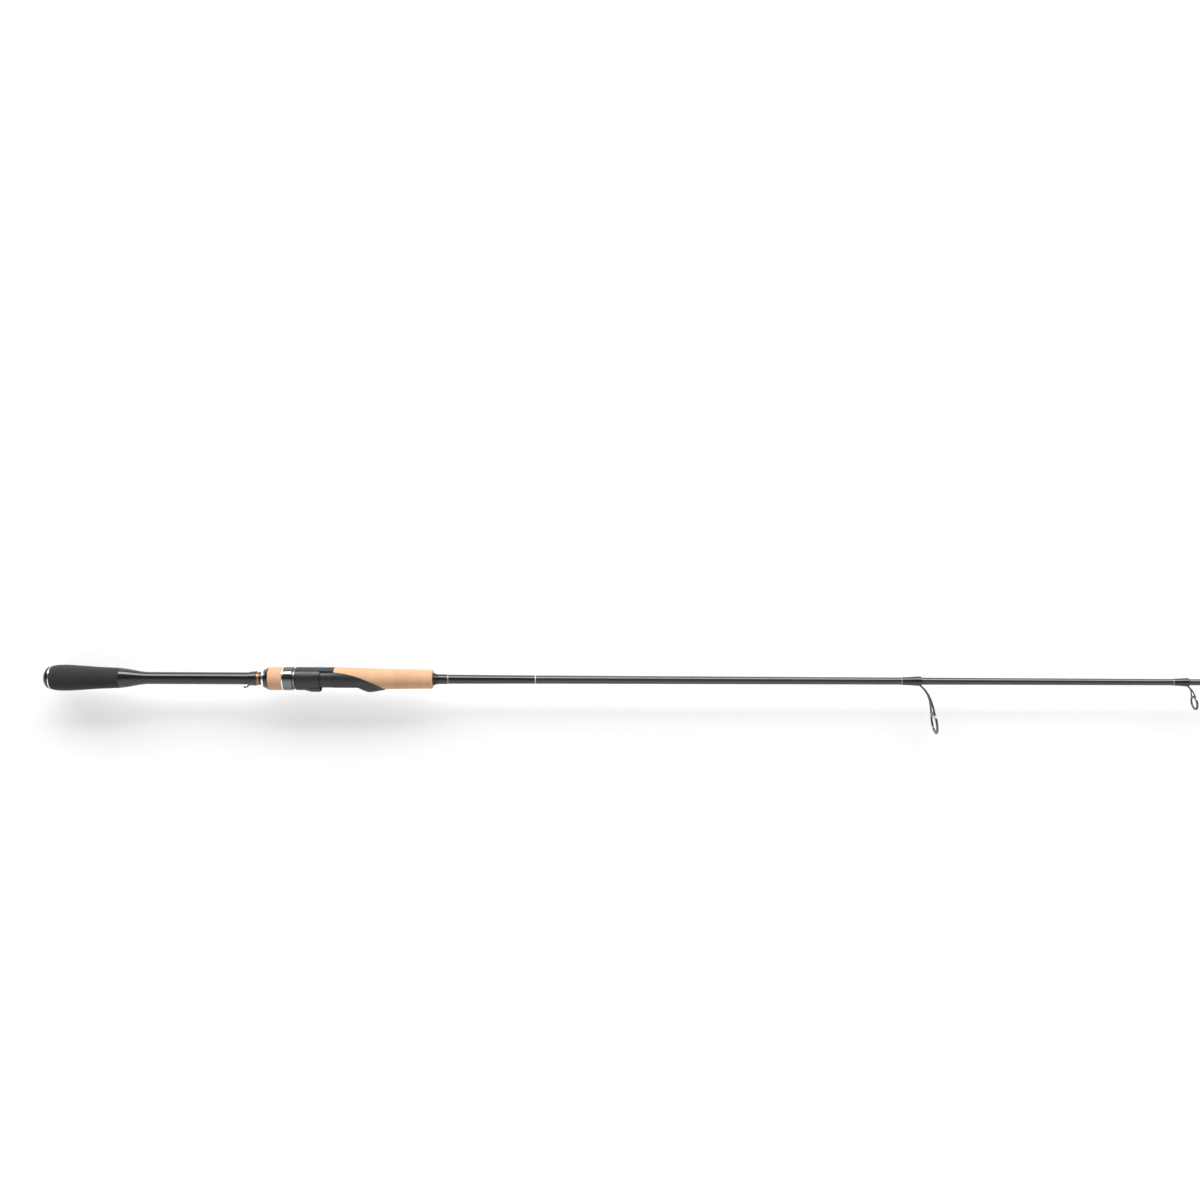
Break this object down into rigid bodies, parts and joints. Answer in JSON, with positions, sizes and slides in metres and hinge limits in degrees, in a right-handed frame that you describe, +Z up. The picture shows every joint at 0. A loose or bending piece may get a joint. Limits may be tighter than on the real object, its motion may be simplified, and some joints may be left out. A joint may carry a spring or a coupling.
{
  "type": "spinning rod",
  "caption": "One-piece spinning rod with a split cork and foam grip, a screw-lock reel seat with a sliding hood, a tapered blank and a row of ring guides.",
  "frame": {"origin": "middle of the flat bed of the reel seat, on its surface", "axes": "+X along the rod to the tip, +Z up and away from the reel, so the reel and the guides hang towards -Z; the rod's own axis is 7.9 mm above the origin"},
  "size_m": [2.1337, 0.024, 0.061],
  "materials": {
    "gloss_black": "polished black",
    "polished_metal": "polished",
    "foam": "matte closed-cell foam",
    "gloss_carbon": "clear-coated carbon fibre",
    "dark_wire": "dark plated wire",
    "thread_black": "thread under clear epoxy",
    "copper_trim": "metallic thread under clear epoxy",
    "machined_metal": "machined",
    "cork": "sanded natural cork",
    "gunmetal": "polished gunmetal",
    "seat_plastic": "satin, fibre-filled",
    "arbor_foam": "rigid foam",
    "dark_metal": "black anodised",
    "silver_trim": "metallic thread under clear epoxy",
    "blank_carbon": "clear-coated graphite grey carbon fibre",
    "guide_metal": "satin titanium grey",
    "ceramic": "polished dark ceramic"
  },
  "bodies": {
    "rod": {"butt_cap": "gloss_black", "butt_ring": "polished_metal", "rear_grip": "foam", "handle_tube": "gloss_carbon", "hook_keeper": "dark_wire", "keeper_wrap": "thread_black", "keeper_trim": "copper_trim", "stop_ring": "gloss_black", "thrust_washer": "machined_metal", "seat_body": "seat_plastic", "rear_arbor": "arbor_foam", "front_arbor": "arbor_foam", "fore_grip": "cork", "winding_check": "dark_metal", "butt_wrap": "thread_black", "butt_trim": "silver_trim", "blank": "blank_carbon", "guide_trims": "silver_trim", "tip_frame": "guide_metal", "tip_ring": "ceramic", "tip_wrap": "thread_black", "tip_trim": "silver_trim", "guide_frame_1": "guide_metal", "guide_ring_1": "ceramic", "guide_wrap_1": "thread_black", "guide_frame_2": "guide_metal", "guide_ring_2": "ceramic", "guide_wrap_2": "thread_black", "guide_frame_3": "guide_metal", "guide_ring_3": "ceramic", "guide_wrap_3": "thread_black", "guide_frame_4": "guide_metal", "guide_ring_4": "ceramic", "guide_wrap_4": "thread_black", "guide_frame_5": "guide_metal", "guide_ring_5": "ceramic", "guide_wrap_5": "thread_black", "guide_frame_6": "guide_metal", "guide_ring_6": "ceramic", "guide_wrap_6": "thread_black", "guide_frame_7": "guide_metal", "guide_ring_7": "ceramic", "guide_wrap_7": "thread_black", "guide_frame_8": "guide_metal", "guide_ring_8": "ceramic", "guide_wrap_8": "thread_black"},
    "lock_nut": {"nut_rear_ring": "polished_metal", "nut_collar": "gloss_black", "nut_core": "machined_metal", "nut_cork": "cork", "nut_front_ring": "gunmetal"},
    "hood": {"hood_tail": "seat_plastic", "movable_hood": "seat_plastic"}
  },
  "joints": [
    {"name": "nut_turn", "type": "hinge", "parent": "rod", "child": "lock_nut", "pos_m": [-0.0575, 0, 0.0079], "axis": [-1, 0, 0], "range_deg": [0, 2880]},
    {"name": "hood_slide", "type": "slide", "parent": "rod", "child": "hood", "axis": [1, 0, 0], "range_m": [0, 0.012]}
  ],
  "couplings": [
    {"joint": "nut_turn", "follows": "hood_slide", "rad_per_m": 4188.8}
  ]
}
